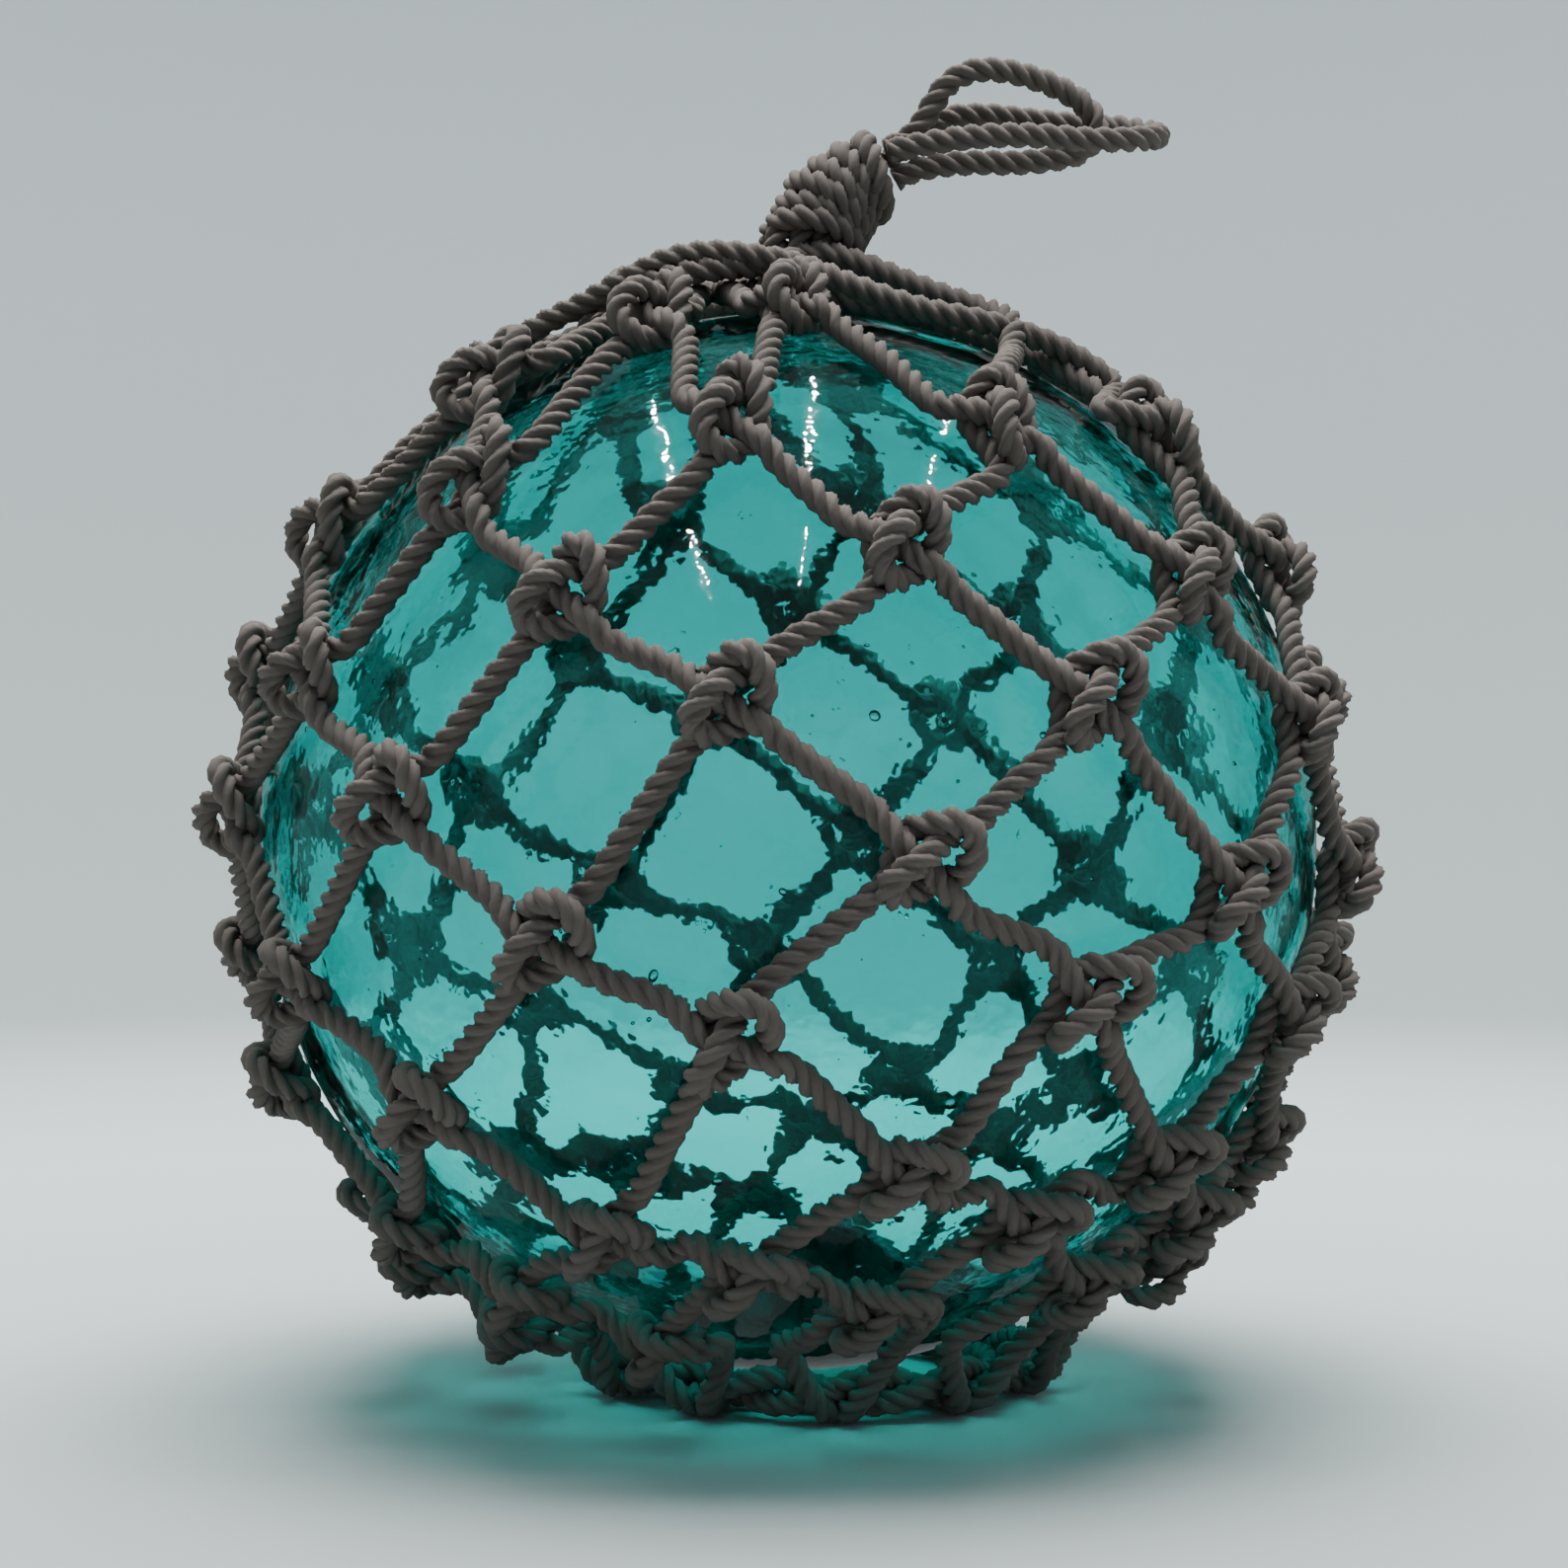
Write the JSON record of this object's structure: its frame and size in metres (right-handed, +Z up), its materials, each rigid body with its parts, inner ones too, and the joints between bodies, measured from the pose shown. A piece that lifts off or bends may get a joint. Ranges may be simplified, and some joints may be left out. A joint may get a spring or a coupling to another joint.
{
  "type": "glass fishing float in a knotted rope net",
  "caption": "Blown glass ball float held in a diamond-mesh knotted rope net, standing on its rope base ring, with a coiled hanger knot and rope loops on top.",
  "frame": {"origin": "centre of the underside: the middle of the float's box, on the surface it stands on", "axes": "+Z up through the glass ball; +X towards the side that the hanger loops lie over; the front faces -Y"},
  "size_m": [0.3342, 0.3354, 0.3798],
  "materials": {
    "glass": "gloss",
    "rope": "matt twisted rope"
  },
  "bodies": {
    "root": {"glass_ball": "glass", "rope_net": "rope", "hanger_knot": "rope", "hanger_loop_round": "rope", "hanger_loop_long": "rope"}
  },
  "joints": []
}
